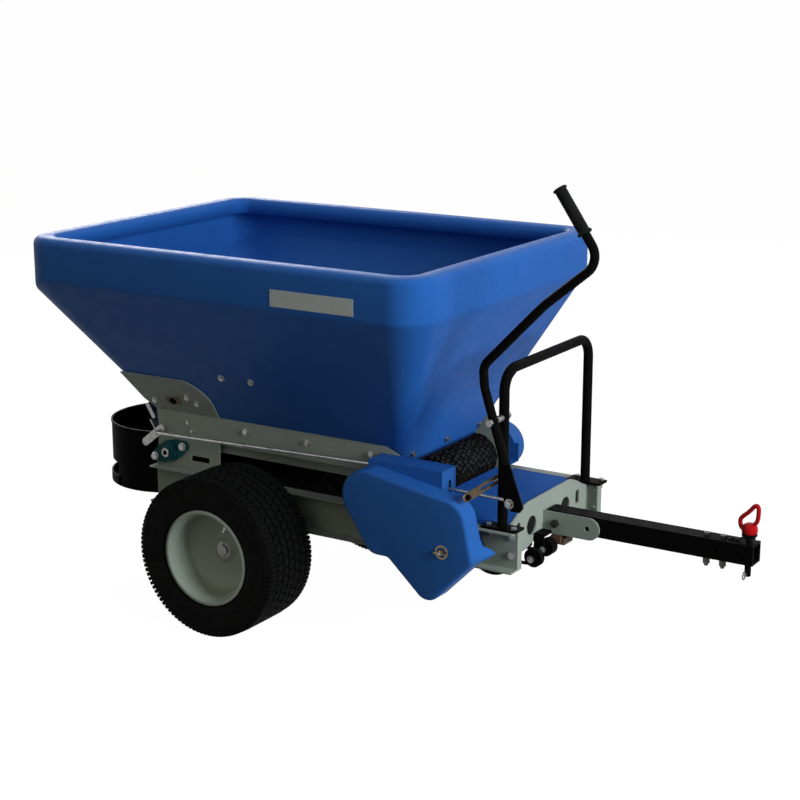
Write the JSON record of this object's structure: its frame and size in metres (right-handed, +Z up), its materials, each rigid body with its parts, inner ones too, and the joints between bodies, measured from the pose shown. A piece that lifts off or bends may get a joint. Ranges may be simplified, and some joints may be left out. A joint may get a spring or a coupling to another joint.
{
  "type": "tow-behind compost spreader",
  "caption": "Two-wheeled tow-behind compost spreader: tapered hopper over a belt conveyor, rear spinner shroud, gate lever, chain guard and drawbar with hitch pin.",
  "frame": {"origin": "on the ground, under the middle of the machine's length and width", "axes": "+X forward towards the hitch, +Y to the machine's left, +Z up"},
  "size_m": [1.97, 0.976, 1.2145],
  "materials": {
    "tyre_rubber": "matte moulded rubber",
    "wheel_paint": "pale grey-green powder coat",
    "frame_paint": "grey-green powder coat",
    "hopper_plastic": "blue moulded polyethylene",
    "guard_plastic": "blue powder coat or moulding",
    "black_paint": "satin black powder coat",
    "zinc_plate": "bright zinc plating",
    "gold_zinc": "yellow passivated zinc plating",
    "belt_rubber": "rough top rubber",
    "bearing_cast": "teal painted casting",
    "bare_steel": "turned steel",
    "red_paint": "glossy red coating",
    "pale_plate": "bare pale plate",
    "grip_rubber": "ribbed soft grip",
    "chain_steel": "oiled roller chain",
    "brown_block": "dull brown bearing metal"
  },
  "bodies": {
    "frame": {"axle_bearings": "black_paint", "chassis_frame": "frame_paint", "side_panel_right": "frame_paint", "side_panel_left": "frame_paint", "hopper": "hopper_plastic", "name_plate": "pale_plate", "conveyor_belt": "belt_rubber", "belt_bed": "frame_paint", "roller_bearings": "bearing_cast", "frame_bolts": "zinc_plate", "chain_guard": "guard_plastic", "guard_box": "guard_plastic", "guard_fastening": "gold_zinc", "drive_chain": "chain_steel", "far_cover": "guard_plastic", "far_chain": "chain_steel", "drive_belt": "belt_rubber", "idler_bracket": "black_paint", "guide_block": "brown_block", "front_gearbox": "black_paint", "spinner_gearbox": "black_paint", "shroud": "black_paint", "discharge_pan": "frame_paint", "pan_brace": "black_paint", "gate_brackets": "zinc_plate", "lever_pivot_bolt": "zinc_plate", "hoop": "black_paint", "guard_strut": "gold_zinc", "front_plate": "frame_paint", "deck_cover": "guard_plastic", "tongue_bracket": "frame_paint", "drawbar": "black_paint", "tongue_bolts": "zinc_plate", "pin_tether": "grip_rubber"},
    "axle_set": {"drive_axle": "bare_steel", "axle_end_caps": "zinc_plate", "wheel_right": "wheel_paint", "tyre_right": "tyre_rubber", "valve_right": "grip_rubber", "axle_sprocket": "bare_steel"},
    "left_wheel": {"wheel_left": "wheel_paint", "tyre_left": "tyre_rubber", "valve_left": "grip_rubber"},
    "front_roll": {"front_roller": "bare_steel", "roller_sprocket": "bare_steel", "far_sprocket": "bare_steel"},
    "rear_roll": {"rear_roller": "bare_steel"},
    "jackshaft_set": {"jackshaft": "bare_steel", "jack_sprocket": "bare_steel", "jack_pulley": "black_paint"},
    "idler": {"idler_pulleys": "black_paint"},
    "spinner_line": {"spinner_shaft": "bare_steel"},
    "spinner": {"spinner_disc": "bare_steel"},
    "lever_arm": {"lever": "black_paint", "lever_grip": "grip_rubber"},
    "rod": {"control_rod": "zinc_plate"},
    "gate": {"gate_plate": "zinc_plate", "gate_arm": "zinc_plate"},
    "pin": {"hitch_pin": "red_paint"},
    "clip": {"hitch_clip": "zinc_plate"}
  },
  "joints": [
    {"name": "axle_turn", "type": "hinge", "parent": "frame", "child": "axle_set", "pos_m": [-0.318, 0, 0.212], "axis": [0, 1, 0], "continuous": true},
    {"name": "left_wheel_turn", "type": "hinge", "parent": "axle_set", "child": "left_wheel", "pos_m": [-0.318, 0.393, 0.212], "axis": [0, 1, 0], "continuous": true},
    {"name": "front_roll_turn", "type": "hinge", "parent": "frame", "child": "front_roll", "pos_m": [0.093, 0, 0.383], "axis": [0, 1, 0], "continuous": true},
    {"name": "rear_roll_turn", "type": "hinge", "parent": "frame", "child": "rear_roll", "pos_m": [-0.62, 0, 0.395], "axis": [0, 1, 0], "continuous": true},
    {"name": "jackshaft_turn", "type": "hinge", "parent": "frame", "child": "jackshaft_set", "pos_m": [0.318, 0, 0.252], "axis": [0, 1, 0], "continuous": true},
    {"name": "idler_turn", "type": "hinge", "parent": "frame", "child": "idler", "pos_m": [0.434, 0, 0.243], "axis": [0, 1, 0], "continuous": true},
    {"name": "spinner_line_turn", "type": "hinge", "parent": "frame", "child": "spinner_line", "pos_m": [-0.318, 0, 0.252], "axis": [1, 0, 0], "continuous": true},
    {"name": "spinner_turn", "type": "hinge", "parent": "frame", "child": "spinner", "pos_m": [-0.807, 0, 0.268], "axis": [0, 0, 1], "continuous": true},
    {"name": "lever_swing", "type": "hinge", "parent": "frame", "child": "lever_arm", "pos_m": [0.41, -0.281, 0.634], "axis": [0, 1, 0], "range_deg": [0, 9.4]},
    {"name": "rod_swing", "type": "hinge", "parent": "lever_arm", "child": "rod", "pos_m": [0.457, -0.262, 0.436], "axis": [0, 1, 0], "range_deg": [-10.2, 0]},
    {"name": "gate_swing", "type": "hinge", "parent": "frame", "child": "gate", "pos_m": [-0.718, 0, 0.534], "axis": [0, 1, 0], "range_deg": [0, 20]},
    {"name": "pin_lift", "type": "slide", "parent": "frame", "child": "pin", "axis": [0, 0, 1], "range_m": [0, 0.016]},
    {"name": "clip_pull", "type": "slide", "parent": "pin", "child": "clip", "axis": [0, -1, 0], "range_m": [0, 0.05]}
  ],
  "couplings": [
    {"joint": "front_roll_turn", "follows": "axle_turn", "ratio": 1.2222},
    {"joint": "rear_roll_turn", "follows": "axle_turn", "ratio": 1.5316},
    {"joint": "jackshaft_turn", "follows": "axle_turn", "ratio": 2.4444},
    {"joint": "idler_turn", "follows": "axle_turn", "ratio": 4.4372},
    {"joint": "spinner_line_turn", "follows": "axle_turn", "ratio": 4.8889},
    {"joint": "spinner_turn", "follows": "axle_turn", "ratio": 4.8889},
    {"joint": "rod_swing", "follows": "lever_swing", "ratio": -1.0739},
    {"joint": "gate_swing", "follows": "lever_swing", "ratio": 2.1219}
  ]
}
